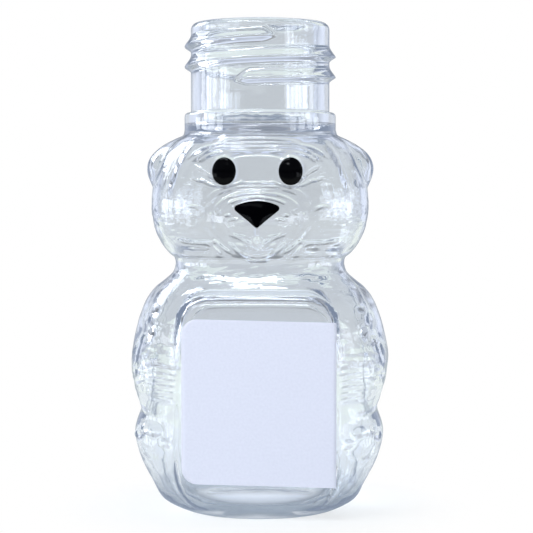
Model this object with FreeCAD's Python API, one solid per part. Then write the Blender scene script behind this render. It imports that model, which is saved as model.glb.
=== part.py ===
import FreeCAD, Part
import math
import os

# Clear bear-shaped honey bottle: one hollow blow-moulded shell with a threaded neck, black printed
# eyes and nose, and a paper label on the flat front panel.
# Millimetres, +Z up, the bear faces -Y, and the origin is the centre of the base.

# Heights of the stacked forms, from the base up
TORSO_HEIGHT = 38.6
HEAD_HEIGHT = 20.0
COLLAR_HEIGHT = 3.4
NECK_HEIGHT = 14.0

# Half sizes of the moulding, across and front to back
BASE_HALF_WIDTH = 14.1
TORSO_HALF_WIDTH = 18.4
WAIST_HALF_WIDTH = 13.2
HEAD_HALF_WIDTH = 17.0
BASE_HALF_DEPTH = 14.2
TORSO_HALF_DEPTH = 14.2
WAIST_HALF_DEPTH = 11.3
FACE_DEPTH = 13.3
NAPE_DEPTH = 12.9
BASE_CORNER = 3.0

# Exponents of the sections: 2 is an ellipse, more is squarer
BASE_SQUARENESS = 2.0
TORSO_SQUARENESS = 5.0
WAIST_SQUARENESS = 2.6
HEAD_SQUARENESS = 2.4
CROWN_SQUARENESS = 2.0
SQUARING_HEIGHT = 6.0

# Walls
WALL = 0.8
BASE_WALL = 1.3
BASE_RING = 2.8
PUSH_UP_DEPTH = 0.7
PUSH_UP_RADIUS = BASE_HALF_DEPTH - BASE_CORNER - BASE_RING

# Neck finish: a 24 mm screw finish with eight threads to the inch
NECK_DIAMETER = 21.7
NECK_WALL = 1.75
COLLAR_STEP = 1.0
COLLAR_ROUND = 0.6
RIM_ROUND = 1.1
THREAD_DEPTH = 1.0
THREAD_PITCH = 3.175
THREAD_START_ANGLE = -111.0
THREAD_SWEEP = 759.0
THREAD_END_BELOW_RIM = 2.8
THREAD_RUN_OUT = 30.0
NECK_BORE = NECK_DIAMETER - 2 * NECK_WALL
COLLAR_DIAMETER = NECK_DIAMETER + 2 * COLLAR_STEP
THREAD_DIAMETER = NECK_DIAMETER + 2 * THREAD_DEPTH
THREAD_UPPER_FLANK = 0.50 * THREAD_PITCH
THREAD_LOWER_FLANK = 0.31 * THREAD_PITCH
THREAD_CREST = 0.11 * THREAD_PITCH

# Flat label panels, front and back
PANEL_RAISE = 0.3
PANEL_DEPTH = TORSO_HALF_DEPTH + PANEL_RAISE
PANEL_HALF_WIDTH = 12.9
PANEL_ABOVE_BASE = 2.6
PANEL_BELOW_WAIST = 4.1
PANEL_CORNER = 5.0
PANEL_EDGE = 1.0

# Paper label with two rounded corners and one straight-cut edge
LABEL_SIDE_MARGIN = 1.3
LABEL_END_MARGIN = 3.55
LABEL_THICKNESS = 0.12
LABEL_CORNER = 2.3
LABEL_TILT = 1.3
LABEL_SHIFT = 0.3
LABEL_DROP = 0.6
LABEL_WIDTH = 2 * PANEL_HALF_WIDTH - 2 * LABEL_SIDE_MARGIN
LABEL_HEIGHT = TORSO_HEIGHT - PANEL_BELOW_WAIST - PANEL_ABOVE_BASE - 2 * LABEL_END_MARGIN

# Printed ink
INK_THICKNESS = 0.1
EYE_SPACING = 10.0
EYE_LEVEL_SHARE = 0.705
EYE_WIDTH = 3.6
EYE_HEIGHT = 4.2
EYE_DOME = 0.45
NOSE_LEVEL_SHARE = 0.425
NOSE_WIDTH = 7.2
NOSE_HEIGHT = 4.1
NOSE_SHOULDER = 2.9
NOSE_CORNER = 0.45

# Moulded relief: how far each form stands out of the plain body
EAR_RELIEF = 1.85
EAR_HOLLOW = 0.6
ARM_RELIEF = 1.9
FOOT_RELIEF = 1.3
MUZZLE_RELIEF = 2.0
LIP_RELIEF = 0.5
CHIN_RELIEF = 0.45
BROW_RELIEF = 0.35

CROWN = TORSO_HEIGHT + HEAD_HEIGHT
NECK_FOOT = CROWN + COLLAR_HEIGHT
RIM = NECK_FOOT + NECK_HEIGHT

# How the outline swells between two heights: share of the way up, share of the way across
BASE_TO_TORSO = [(0.0, 0.0), (0.15, 0.33), (0.30, 0.60), (0.45, 0.78), (0.70, 0.93), (1.0, 1.0)]
TORSO_TO_WAIST = [(0.0, 0.0), (0.30, 0.02), (0.52, 0.11), (0.68, 0.275), (0.80, 0.50), (0.87, 0.75),
                  (0.935, 0.94), (1.0, 1.0)]
WAIST_TO_HEAD = [(0.0, 0.0), (0.09, 0.04), (0.16, 0.24), (0.37, 0.62), (0.65, 0.89), (1.0, 1.0)]
HEAD_TO_CROWN = [(0.0, 0.0), (0.27, 0.04), (0.50, 0.156), (0.72, 0.35), (0.855, 0.585), (0.945, 0.84),
                 (1.0, 1.0)]
FACE_TO_CROWN = [(0.0, 0.0), (0.25, 0.22), (0.50, 0.47), (0.75, 0.72), (1.0, 1.0)]
TORSO_WIDEST_SHARE = 0.5
HEAD_WIDEST_SHARE = 0.445


def along(curve, t):
    """Monotone cubic through a curve's points, level at both ends."""
    slopes = [(b[1] - a[1]) / (b[0] - a[0]) for a, b in zip(curve, curve[1:])]
    tangents = [0.0] + [2 * a * b / (a + b) for a, b in zip(slopes, slopes[1:])] + [0.0]
    last = len(curve) - 2
    i = next((k for k in range(last) if t < curve[k + 1][0]), last)
    (t0, y0), (t1, y1) = curve[i], curve[i + 1]
    h = t1 - t0
    s = min(max((t - t0) / h, 0.0), 1.0)
    rise = (1 + 2 * s) * (1 - s) ** 2 * y0 + s * s * (3 - 2 * s) * y1
    return rise + h * s * (1 - s) * ((1 - s) * tangents[i] - s * tangents[i + 1])


def torso_z(level):
    return level * TORSO_HEIGHT


def head_z(level):
    return TORSO_HEIGHT + level * HEAD_HEIGHT


def swell(z, base, torso, waist, head, crown, last=HEAD_TO_CROWN):
    """A size of the section at height z, given at the five heights that set the outline."""
    spans = [
        (0.0, torso_z(TORSO_WIDEST_SHARE), base, torso, BASE_TO_TORSO),
        (torso_z(TORSO_WIDEST_SHARE), TORSO_HEIGHT, torso, waist, TORSO_TO_WAIST),
        (TORSO_HEIGHT, head_z(HEAD_WIDEST_SHARE), waist, head, WAIST_TO_HEAD),
        (head_z(HEAD_WIDEST_SHARE), CROWN, head, crown, last),
    ]
    low, high, start, end, curve = next((span for span in spans if z < span[1]), spans[-1])
    return start + (end - start) * along(curve, min((z - low) / (high - low), 1.0))


def squareness(z):
    """Exponent of the section at height z: the rounder base squares up just above the heel."""
    low = BASE_SQUARENESS + (TORSO_SQUARENESS - BASE_SQUARENESS) * step(z / SQUARING_HEIGHT)
    return swell(z, low, TORSO_SQUARENESS, WAIST_SQUARENESS, HEAD_SQUARENESS, CROWN_SQUARENESS)


def mound(across, up, power=2.0):
    """Height, from 1 at the middle to 0 at the rim, of a smooth mound in units of its half sizes."""
    return max(1.0 - across * across - up * up, 0.0) ** power


def step(t):
    """Smooth step from 0 to 1."""
    t = min(max(t, 0.0), 1.0)
    return t * t * (3 - 2 * t)


def arm(u, z):
    """Relief of one arm: shoulder to elbow down the side, then the paw forward to the panel's edge."""
    shoulder = (0.08 * TORSO_HALF_WIDTH, torso_z(0.81))
    elbow = (0.04 * TORSO_HALF_WIDTH, torso_z(0.627))
    paw = (0.60 * TORSO_HALF_WIDTH, torso_z(0.55))
    reach = 0.155 * TORSO_HEIGHT
    best = 0.0
    for (start, end, low, high) in ((shoulder, elbow, 0.6, 1.0), (elbow, paw, 1.0, 0.55)):
        du, dz = end[0] - start[0], end[1] - start[1]
        s = ((u - start[0]) * du + (z - start[1]) * dz) / (du * du + dz * dz)
        s = min(max(s, 0.0), 1.0)
        off = math.hypot(u - start[0] - s * du, z - start[1] - s * dz) / reach
        best = max(best, (low + (high - low) * s) * mound(off, 0.0, 1.5))
    return ARM_RELIEF * best


def foot(u, z):
    """Relief of one foot: short above the ankle, long towards the heel."""
    middle = torso_z(0.319)
    half = 0.109 * TORSO_HEIGHT if z > middle else 0.202 * TORSO_HEIGHT
    across = (u - 0.30 * TORSO_HALF_WIDTH) / (0.62 * TORSO_HALF_WIDTH)
    return FOOT_RELIEF * mound(across, (z - middle) / half, 1.5)


def ear(u, z):
    """Relief of one ear: a lobe on the mould's parting plane with a hollow facing forwards."""
    share = u / HEAD_HALF_WIDTH
    lobe = mound(share / 0.30, (z - head_z(0.80)) / (0.22 * HEAD_HEIGHT), 1.3)
    hollow = mound((share - 0.20) / 0.15, (z - head_z(0.76)) / (0.14 * HEAD_HEIGHT))
    return EAR_RELIEF * lobe - EAR_HOLLOW * hollow


def face(x, z):
    """Relief of the muzzle, the two lips under the nose, the chin and the brow, on the front of the head."""
    share = abs(x) / HEAD_HALF_WIDTH
    muzzle = mound(share / 0.47, (z - head_z(0.31)) / (0.29 * HEAD_HEIGHT), 1.5)
    lip = mound((share - 0.124) / 0.147, (z - head_z(0.28)) / (0.11 * HEAD_HEIGHT))
    chin = mound(share / 0.33, (z - head_z(0.14)) / (0.12 * HEAD_HEIGHT))
    brow = mound((share - 0.30) / 0.32, (z - head_z(0.86)) / (0.10 * HEAD_HEIGHT))
    return MUZZLE_RELIEF * muzzle + LIP_RELIEF * lip + CHIN_RELIEF * chin + BROW_RELIEF * brow


def eyes(x, z):
    """Relief of the domed eyes, which the inside of the wall doesn't follow."""
    across = (abs(x) - EYE_SPACING / 2) / (0.62 * EYE_WIDTH)
    return EYE_DOME * mound(across, (z - head_z(EYE_LEVEL_SHARE)) / (0.62 * EYE_HEIGHT), 1.0)


def panel_share(x, z):
    """1 on the flat label panel, 0 outside its rounded outline, smooth across its edge."""
    low, high = PANEL_ABOVE_BASE, TORSO_HEIGHT - PANEL_BELOW_WAIST
    dx = abs(x) - PANEL_HALF_WIDTH + PANEL_CORNER
    dz = abs(z - (low + high) / 2) - (high - low) / 2 + PANEL_CORNER
    outside = math.hypot(max(dx, 0.0), max(dz, 0.0)) + min(max(dx, dz), 0.0) - PANEL_CORNER
    return step((PANEL_EDGE - outside) / (2 * PANEL_EDGE))


def radius(angle, z, detail):
    """Distance from the axis to the moulding's outer face, with or without the finest relief."""
    c, s = math.cos(angle), math.sin(angle)
    crown = COLLAR_DIAMETER / 2
    wide = swell(z, BASE_HALF_WIDTH, TORSO_HALF_WIDTH, WAIST_HALF_WIDTH, HEAD_HALF_WIDTH, crown)
    head, last = (FACE_DEPTH, FACE_TO_CROWN) if s < 0 else (NAPE_DEPTH, HEAD_TO_CROWN)
    deep = swell(z, BASE_HALF_DEPTH, TORSO_HALF_DEPTH, WAIST_HALF_DEPTH, head, crown, last)
    square = squareness(z)
    plain = (abs(c / wide) ** square + abs(s / deep) ** square) ** (-1 / square)

    forward = math.atan2(-s, abs(c))
    relief = arm(forward * TORSO_HALF_WIDTH, z) + foot(forward * TORSO_HALF_WIDTH, z)
    relief += ear(forward * HEAD_HALF_WIDTH, z)
    if s < 0:
        relief += face(plain * c, z)
    if s < 0 and detail:
        relief += eyes(plain * c, z)
    body = plain + relief

    flat = PANEL_DEPTH / max(abs(s), 0.2)
    return body + (flat - body) * panel_share(flat * c, z)


def column_angles():
    columns = 120
    return [2 * math.pi * k / columns for k in range(columns)]


def ring(reach, z):
    """One row of poles: its distance from the axis in each column."""
    return [FreeCAD.Vector(r * math.cos(a), r * math.sin(a), z) for r, a in zip(reach, column_angles())]


def rows_above(floor):
    """Heights of a grid's rows, and how far each is drawn in to round the corner with its floor."""
    corner_rows, body_rows = 5, 72
    rows = []
    for k in range(corner_rows):
        turn = math.radians(90 * k / corner_rows)
        rows.append((floor + BASE_CORNER * (1 - math.cos(turn)), BASE_CORNER * (1 - math.sin(turn))))
    low = floor + BASE_CORNER
    for k in range(body_rows + 1):
        rows.append((low + (CROWN - low) * k / body_rows, 0.0))
    return rows


def outer_net(grow):
    """Pole net of the outer face, grown outwards by a film's thickness, closed inside the collar."""
    net = []
    for z, inset in rows_above(0.0):
        net.append(ring([radius(a, z, True) - inset + grow for a in column_angles()], z))
    lid = COLLAR_DIAMETER / 2 - COLLAR_STEP - NECK_WALL / 2
    net.append(ring([lid for a in column_angles()], CROWN + COLLAR_HEIGHT / 4))
    return net


def inner_net():
    """Pole net of the cavity: the plain outer face moved in by the wall, square to the surface."""
    nudge = 0.05
    net = []
    for z, inset in rows_above(BASE_WALL):
        reach = []
        for a in column_angles():
            r = radius(a, z, False)
            turn = nudge / r
            up = (radius(a, z + nudge, False) - radius(a, z - nudge, False)) / (2 * nudge)
            around = (radius(a + turn, z, False) - radius(a - turn, z, False)) / (2 * nudge)
            inside = r - inset - WALL * math.sqrt(1 + up * up + around * around)
            reach.append(max(inside, NECK_BORE / 2 + NECK_WALL / 8))
        net.append(ring(reach, z))
    return net


def closed_solid(net):
    """Solid inside a cubic surface that is periodic round the axis, with flat ends."""
    rows, columns = len(net), len(net[0])
    poles = [[net[j][i] for j in range(rows)] for i in range(columns)]
    around = [1] * (columns + 1)
    spans = rows - 3
    upward = [4] + [1] * (spans - 1) + [4]
    surface = Part.BSplineSurface()
    surface.buildFromPolesMultsKnots(poles, around, upward, list(range(columns + 1)), list(range(spans + 1)),
                                     True, False, 3, 3)
    side = surface.toShape()
    ends = [e for e in side.Edges if e.BoundBox.ZLength < 1e-6]
    lids = [Part.Face(Part.Wire([e])) for e in ends]
    shell = Part.makeShell([side] + lids)
    shell.sewShape()
    solid = Part.makeSolid(shell)
    if solid.Volume < 0:
        solid.reverse()
    return solid


def turned(points):
    """Solid turned about the axis from an outline of (radius, height) points and arcs between them."""
    at = [FreeCAD.Vector(p[0], 0, p[1]) for p in points]
    edges = []
    i = 0
    while i < len(at):
        nxt = at[(i + 1) % len(at)]
        if len(points[(i + 1) % len(at)]) == 3:
            end = at[(i + 2) % len(at)]
            edges.append(Part.Arc(at[i], nxt, end).toShape())
            i += 2
        else:
            edges.append(Part.LineSegment(at[i], nxt).toShape())
            i += 1
    return Part.Face(Part.Wire(edges)).revolve(FreeCAD.Vector(), FreeCAD.Vector(0, 0, 1), 360)


def neck():
    """Collar and neck as one turned solid, its foot sunk into the head."""
    collar, wall = COLLAR_DIAMETER / 2, NECK_DIAMETER / 2
    c, q = COLLAR_ROUND, math.sqrt(0.5)
    r = RIM_ROUND
    return turned([
        (0, CROWN - COLLAR_HEIGHT / 4),
        (collar, CROWN - COLLAR_HEIGHT / 4),
        (collar, NECK_FOOT - c),
        (collar - c * (1 - q), NECK_FOOT - c * (1 - q), "arc"),
        (collar - c, NECK_FOOT),
        (wall, NECK_FOOT),
        (wall, RIM - r),
        (wall - r * (1 - q), RIM - r * (1 - q), "arc"),
        (wall - r, RIM),
        (0, RIM),
    ])


def thread():
    """Screw thread: a ridge swept round the neck whose ends run out into the wall."""
    root = NECK_DIAMETER / 2 - NECK_WALL / 6
    crest = THREAD_DIAMETER / 2
    sliver = 0.05
    turn_per_section = 12
    top = RIM - THREAD_END_BELOW_RIM
    sections = []
    steps = max(int(THREAD_SWEEP / turn_per_section), 8)
    for k in range(steps + 1):
        swept = THREAD_SWEEP * k / steps
        middle = top - THREAD_PITCH * (THREAD_SWEEP - swept) / 360
        run = step(min(swept, THREAD_SWEEP - swept) / THREAD_RUN_OUT)
        ridge = root + sliver + (crest - root - sliver) * run
        angle = math.radians(THREAD_START_ANGLE + swept)
        outline = [
            (root, middle - THREAD_LOWER_FLANK - THREAD_CREST / 2),
            (ridge, middle - THREAD_CREST / 2),
            (ridge, middle + THREAD_CREST / 2),
            (root, middle + THREAD_UPPER_FLANK + THREAD_CREST / 2),
        ]
        corners = [FreeCAD.Vector(r * math.cos(angle), r * math.sin(angle), z) for r, z in outline]
        sections.append(Part.makePolygon(corners + corners[:1]))
    return Part.makeLoft(sections, True, False)


def bottle(body):
    """The whole moulding: outside less the chamber and the bore, with a raised push-up in the base."""
    outside = body.fuse(neck())
    chamber = closed_solid(inner_net())
    bore = Part.makeCylinder(NECK_BORE / 2, RIM - CROWN + WALL, FreeCAD.Vector(0, 0, CROWN - WALL))
    shell = outside.cut(chamber.fuse(bore))
    curve = (PUSH_UP_RADIUS ** 2 + PUSH_UP_DEPTH ** 2) / (2 * PUSH_UP_DEPTH)
    dome = Part.makeSphere(curve, FreeCAD.Vector(0, 0, PUSH_UP_DEPTH - curve))
    shell = shell.cut(dome)
    return shell.fuse(thread()).removeSplitter(), chamber, bore


def ink(outline, body, grown):
    """Printed film on the moulding's front, inside a flat outline that faces along Y."""
    stamp = outline.extrude(FreeCAD.Vector(0, 1.5 * FACE_DEPTH, 0))
    stamp.translate(FreeCAD.Vector(0, -2 * FACE_DEPTH, 0))
    return stamp.common(grown).cut(body)


def eye_outline(x):
    ellipse = Part.Ellipse(FreeCAD.Vector(), EYE_HEIGHT / 2, EYE_WIDTH / 2).toShape()
    ellipse.rotate(FreeCAD.Vector(), FreeCAD.Vector(1, 0, 0), 90)
    ellipse.rotate(FreeCAD.Vector(), FreeCAD.Vector(0, 1, 0), 90)
    ellipse.translate(FreeCAD.Vector(x, 0, head_z(EYE_LEVEL_SHARE)))
    return Part.Face(Part.Wire([ellipse]))


def nose_outline():
    """Rounded triangle, point down, with a bowed top edge."""
    middle = head_z(NOSE_LEVEL_SHARE)
    half, top = NOSE_WIDTH / 2, middle + (NOSE_HEIGHT - NOSE_SHOULDER)
    tip = FreeCAD.Vector(0, 0, middle - NOSE_SHOULDER)
    crest = FreeCAD.Vector(0, 0, top)
    left, right = FreeCAD.Vector(-half, 0, middle), FreeCAD.Vector(half, 0, middle)
    edges = [
        Part.Arc(left, crest, right).toShape(),
        Part.LineSegment(right, tip).toShape(),
        Part.LineSegment(tip, left).toShape(),
    ]
    sharp = Part.Face(Part.Wire(edges))
    return sharp.makeOffset2D(-NOSE_CORNER).makeOffset2D(NOSE_CORNER)


def label():
    """Paper sheet on the front panel: two corners rounded, the other edge cut straight."""
    w, h, r = LABEL_WIDTH / 2, LABEL_HEIGHT / 2, LABEL_CORNER
    q = r * (1 - math.sqrt(0.5))
    points = [(w, -h), (w, h), (-w + r, h), (-w + q, h - q), (-w, h - r)]
    points += [(-w, -h + r), (-w + q, -h + q), (-w + r, -h)]
    p = [FreeCAD.Vector(x, 0, z) for x, z in points]
    edges = [
        Part.LineSegment(p[0], p[1]).toShape(),
        Part.LineSegment(p[1], p[2]).toShape(),
        Part.Arc(p[2], p[3], p[4]).toShape(),
        Part.LineSegment(p[4], p[5]).toShape(),
        Part.Arc(p[5], p[6], p[7]).toShape(),
        Part.LineSegment(p[7], p[0]).toShape(),
    ]
    sheet = Part.Face(Part.Wire(edges)).extrude(FreeCAD.Vector(0, -LABEL_THICKNESS, 0))
    sheet.rotate(FreeCAD.Vector(), FreeCAD.Vector(0, 1, 0), LABEL_TILT)
    middle = (PANEL_ABOVE_BASE + TORSO_HEIGHT - PANEL_BELOW_WAIST) / 2 - LABEL_DROP
    sheet.translate(FreeCAD.Vector(LABEL_SHIFT, -PANEL_DEPTH, middle))
    return sheet


def main():
    os.makedirs("parts", exist_ok=True)
    body = closed_solid(outer_net(0.0))
    grown = closed_solid(outer_net(INK_THICKNESS))
    shell, chamber, bore = bottle(body)
    pieces = {
        "bottle": shell,
        "left_eye": ink(eye_outline(EYE_SPACING / 2), body, grown),
        "right_eye": ink(eye_outline(-EYE_SPACING / 2), body, grown),
        "nose": ink(nose_outline(), body, grown),
        "front_label": label(),
    }
    for name, shape in pieces.items():
        shape.exportStep(f"parts/{name}.step")
        print(name, "solids", len(shape.Solids), "valid", shape.isValid(), "volume", round(shape.Volume, 2))
    print("brimful ml", round(chamber.fuse(bore).Volume / 1000, 2))


main()
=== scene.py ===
"""Clear honey bear bottle: the moulded shell, its printed eyes and nose and its paper label."""
import math

import bpy
import numpy as np
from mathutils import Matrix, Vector


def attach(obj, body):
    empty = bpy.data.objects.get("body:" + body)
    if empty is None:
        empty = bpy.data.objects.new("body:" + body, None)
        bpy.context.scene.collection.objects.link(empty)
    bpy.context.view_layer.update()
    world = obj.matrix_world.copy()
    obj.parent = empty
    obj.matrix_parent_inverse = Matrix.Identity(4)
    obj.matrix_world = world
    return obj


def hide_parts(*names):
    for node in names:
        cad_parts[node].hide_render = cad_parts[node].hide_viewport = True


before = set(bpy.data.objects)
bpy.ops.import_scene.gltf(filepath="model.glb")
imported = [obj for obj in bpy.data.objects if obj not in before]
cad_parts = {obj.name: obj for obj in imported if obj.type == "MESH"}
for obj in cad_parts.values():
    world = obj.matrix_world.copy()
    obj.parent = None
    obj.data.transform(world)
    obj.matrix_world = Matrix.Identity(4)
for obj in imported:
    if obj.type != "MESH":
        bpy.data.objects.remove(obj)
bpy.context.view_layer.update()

MM = 0.001

# Heights of the moulding, millimetres above the table
TORSO_TOP = 38.6
CROWN = 58.6
NECK_FOOT = 62.0
RIM = 76.0
TORSO_WIDEST = 19.3
HEAD_WIDEST = 47.5

# Half sizes of the moulding at the base, torso, waist, head and crown
HALF_WIDTHS = (14.1, 18.4, 13.2, 17.0, 11.85)
FRONT_DEPTHS = (14.2, 14.2, 11.3, 13.3, 11.85)
BACK_DEPTHS = (14.2, 14.2, 11.3, 12.9, 11.85)
SQUARENESS = (2.0, 4.2, 2.6, 2.4, 2.0)
SQUARING_HEIGHT = 6.0
BASE_CORNER = 3.0
PUSH_UP_RADIUS = 8.4
PUSH_UP_DEPTH = 0.7

# Walls
WALL = 0.8
BASE_WALL = 1.3
INNER_FLOOR_RISE = 0.5
BORE_FOOT = 60.4
BORE_FLARE = 2.7

# Neck finish
NECK_RADIUS = 10.85
BORE_RADIUS = 9.1
COLLAR_RADIUS = 11.85
COLLAR_ROUND = 0.6
RIM_ROUND = 1.1
LIP_ROUND = 0.35
THREAD_DEPTH = 1.0
THREAD_PITCH = 3.175
THREAD_TOP = RIM - 2.8
THREAD_START = math.radians(-111)
THREAD_SWEEP = math.radians(759)
THREAD_RUN_OUT = math.radians(15)
THREAD_CREST = 0.12
THREAD_UPPER = 0.55 * THREAD_PITCH
THREAD_LOWER = 0.25 * THREAD_PITCH
THREAD_HOLLOW = 1.45

# Flat panels, front and back
PANEL_DEPTH = 14.5
PANEL_HALF_WIDTH = 12.9
PANEL_LOW = 2.6
PANEL_HIGH = 34.5
PANEL_CORNER = 5.0
PANEL_TOP_EDGE = 0.5
PANEL_SIDE_EDGE = 1.4
PANEL_SKIRT = 1.8
INNER_PANEL_EDGE = 1.8
CRISP_FROM = 28.0
CRISP_RISE = 4.0

# Arm: upper arm and forearm, each from one point to the next as distance forward of the side and height,
# then the share of the relief at both ends
ARM_RELIEF = 1.84
ARM_HALF_WIDTH = 6.0
LIMBS = (
    ((1.5, 31.3), (0.75, 24.2), 0.6, 1.0),
    ((0.75, 24.2), (11.0, 21.2), 1.0, 0.55),
)
FINGER_GROOVES = 6
FINGER_TOP = 23.0
FINGER_SPACING = 0.9
FINGER_ROOT = 11.2
FINGER_TIP = 15.6
FINGER_DEPTH = 0.34
FINGER_WIDTH = 0.34
FUR_FLECKS = 18
FUR_SPAN = (4.5, 11.0)
FUR_HEIGHTS = (24.5, 33.0)
FUR_RISE = 0.18
FUR_WIDTH = 0.34

# Mounds on the plain body: the middle as distance along and height, the half sizes, how far it stands
# out, negative for a hollow, and its power
ANKLE = 12.3
ANKLE_UP = 4.2
ANKLE_DOWN = 7.8
FOOT_MIDDLE = 5.5
FOOT_HALF_LENGTH = 11.4
FOOT_RELIEF = 1.3
SOLE = (
    ((11.6, 10.6), (2.6, 2.0), 0.4, 2.0),
    ((8.4, 12.6), (1.15, 1.05), 0.45, 2.0),
    ((10.4, 13.6), (1.15, 1.05), 0.45, 2.0),
    ((12.6, 13.4), (1.15, 1.05), 0.45, 2.0),
    ((14.2, 11.8), (1.15, 1.05), 0.45, 2.0),
)
EAR = (
    ((0.0, 54.6), (5.1, 4.4), 1.85, 1.3),
    ((3.4, 53.8), (2.55, 2.8), -0.6, 2.0),
)
MUZZLE_LIPS_CHIN_BROW = (
    ((0.0, 44.8), (8.0, 5.8), 1.96, 1.5),
    ((2.1, 44.2), (2.5, 2.2), 0.5, 2.0),
    ((0.0, 41.4), (5.6, 2.4), 0.45, 2.0),
    ((5.1, 55.8), (5.4, 2.0), 0.35, 2.0),
)

# Eyes and nose
EYE_X = 5.0
EYE_Z = 52.7
EYE_HALF_WIDTH = 1.8
EYE_HALF_HEIGHT = 2.1
EYE_DOMES = (((EYE_X, EYE_Z), (2.23, 2.6), 0.76, 1.0),)
NOSE_MIDDLE = 46.5
INK_TOP = 0.1
INK_SUNK = 0.03

# Label
LABEL_HALF_WIDTH = 11.6
LABEL_HALF_HEIGHT = 12.4
LABEL_X = 0.3
LABEL_Z = 17.95
LABEL_TILT = math.radians(1.3)
LABEL_CORNER = 2.3
LABEL_THICKNESS = 0.12
LABEL_GAP = 0.015

# Rows and columns of the shell
SHELL_COLUMNS = 214
FRONT_CROWDING = 0.75
FINE_ROWS_FROM = 32.0
FINE_ROWS_TO = 57.4
INNER_ROWS_FROM = 53.0

# Camera, from the photograph's perspective
CAMERA_DISTANCE = 273
CAMERA_HEIGHT = 49
CAMERA_TURN = math.radians(2.0)
SENSOR_WIDTH = 36
FOCAL_PIXELS = 1735
IMAGE_PIXELS = 533
HORIZON_ROW = 196
AXIS_SHIFT = 6.3
LAMP_AIM = 0.045

# Half sizes between two heights: share of the way up, share of the change
BASE_TO_TORSO = ((0.0, 0.0), (0.15, 0.33), (0.30, 0.60), (0.45, 0.78), (0.70, 0.93), (1.0, 1.0))
TORSO_TO_WAIST = ((0.0, 0.0), (0.30, 0.02), (0.52, 0.11), (0.68, 0.275), (0.80, 0.50), (0.87, 0.75),
                  (0.935, 0.94), (1.0, 1.0))
WAIST_TO_HEAD = ((0.0, 0.0), (0.09, 0.04), (0.16, 0.24), (0.37, 0.62), (0.65, 0.89), (1.0, 1.0))
HEAD_TO_CROWN = ((0.0, 0.0), (0.27, 0.04), (0.50, 0.156), (0.72, 0.35), (0.855, 0.585), (0.945, 0.84),
                 (1.0, 1.0))
FACE_TO_CROWN = ((0.0, 0.0), (0.25, 0.22), (0.50, 0.47), (0.75, 0.72), (1.0, 1.0))

# Lines on the face, alike on both sides: three points of a bow as distance from the middle and height, then
# how far it stands out, negative for a groove, and its width
FACE_LINES = (
    ((-2.0, 57.50), (4.0, 57.75), (6.2, 57.0), 0.21, 0.20),
    ((-2.0, 56.90), (3.4, 57.00), (5.6, 56.85), 0.20, 0.19),
    ((5.0, 56.90), (8.0, 56.50), (9.8, 55.2), 0.26, 0.22),
    ((-2.0, 56.35), (3.5, 56.45), (5.8, 56.4), 0.21, 0.20),
    ((5.4, 56.40), (8.0, 55.90), (9.1, 54.3), 0.24, 0.21),
    ((0.6, 55.80), (2.6, 55.85), (4.0, 55.75), 0.18, 0.18),
    ((5.0, 55.55), (7.6, 55.40), (8.7, 54.1), 0.21, 0.19),
    ((-2.0, 55.30), (2.6, 55.40), (3.9, 54.7), -0.20, 0.18),
    ((7.3, 56.60), (9.0, 55.90), (10.5, 54.6), 0.21, 0.19),
    ((8.3, 55.30), (10.4, 54.60), (10.7, 52.4), 0.22, 0.19),
    ((11.1, 53.8), (11.4, 52.90), (11.4, 51.7), 0.22, 0.19),
    ((10.4, 57.0), (12.8, 53.60), (14.0, 48.4), 0.34, 0.30),
    ((11.3, 55.6), (12.7, 53.00), (13.5, 50.4), 0.26, 0.22),
    ((6.7, 51.70), (8.0, 52.80), (9.9, 53.8), 0.22, 0.19),
    ((9.4, 52.50), (9.7, 52.90), (10.0, 53.3), 0.20, 0.17),
    ((5.2, 50.45), (7.4, 50.40), (8.75, 51.95), 0.24, 0.19),
    ((8.1, 51.25), (9.2, 51.25), (10.0, 51.95), 0.22, 0.19),
    ((2.0, 51.30), (3.6, 50.40), (5.6, 50.5), 0.21, 0.18),
    ((10.3, 50.9), (10.6, 49.70), (10.9, 48.5), 0.31, 0.28),
    ((-1.5, 50.95), (1.2, 51.00), (2.3, 50.95), 0.20, 0.18),
    ((-1.5, 50.40), (2.0, 50.45), (3.4, 50.3), 0.21, 0.19),
    ((-1.5, 49.90), (1.4, 49.95), (2.6, 49.85), 0.18, 0.18),
    ((-1.5, 49.40), (1.5, 49.45), (2.9, 49.3), 0.20, 0.18),
    ((3.9, 50.30), (7.2, 50.00), (7.7, 47.6), 0.24, 0.20),
    ((3.5, 50.00), (6.7, 49.60), (7.1, 47.7), 0.21, 0.18),
    ((1.2, 49.40), (5.2, 49.20), (6.3, 46.8), 0.20, 0.19),
    ((-1.0, 48.80), (2.4, 48.90), (4.2, 47.7), 0.21, 0.18),
    ((2.6, 45.55), (3.3, 45.55), (3.9, 45.25), 0.20, 0.17),
    ((3.7, 46.15), (4.0, 46.20), (4.5, 46.0), 0.20, 0.17),
    ((5.1, 46.80), (5.4, 46.60), (5.75, 46.2), 0.20, 0.17),
    ((5.6, 47.10), (5.9, 46.95), (6.2, 46.65), 0.20, 0.17),
    ((6.8, 46.50), (7.0, 45.20), (6.4, 43.8), 0.26, 0.22),
    ((8.3, 46.60), (9.6, 48.10), (10.7, 47.0), 0.22, 0.20),
    ((0.0, 44.40), (0.0, 43.30), (0.0, 42.1), -0.22, 0.26),
    ((0.9, 41.70), (1.8, 42.60), (4.0, 43.3), 0.24, 0.22),
    ((1.2, 42.95), (3.6, 42.80), (3.85, 44.7), 0.18, 0.20),
    ((4.0, 41.95), (2.3, 39.60), (-0.6, 39.75), 0.28, 0.22),
    ((7.9, 44.20), (6.2, 41.60), (3.8, 40.4), 0.24, 0.22),
    ((7.7, 41.70), (6.2, 41.60), (5.6, 39.6), 0.21, 0.23),
    ((6.2, 42.10), (9.0, 41.60), (12.0, 42.3), 0.28, 0.28),
    ((-1.5, 39.30), (0.4, 39.25), (1.45, 39.35), 0.42, 0.26),
)


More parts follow.
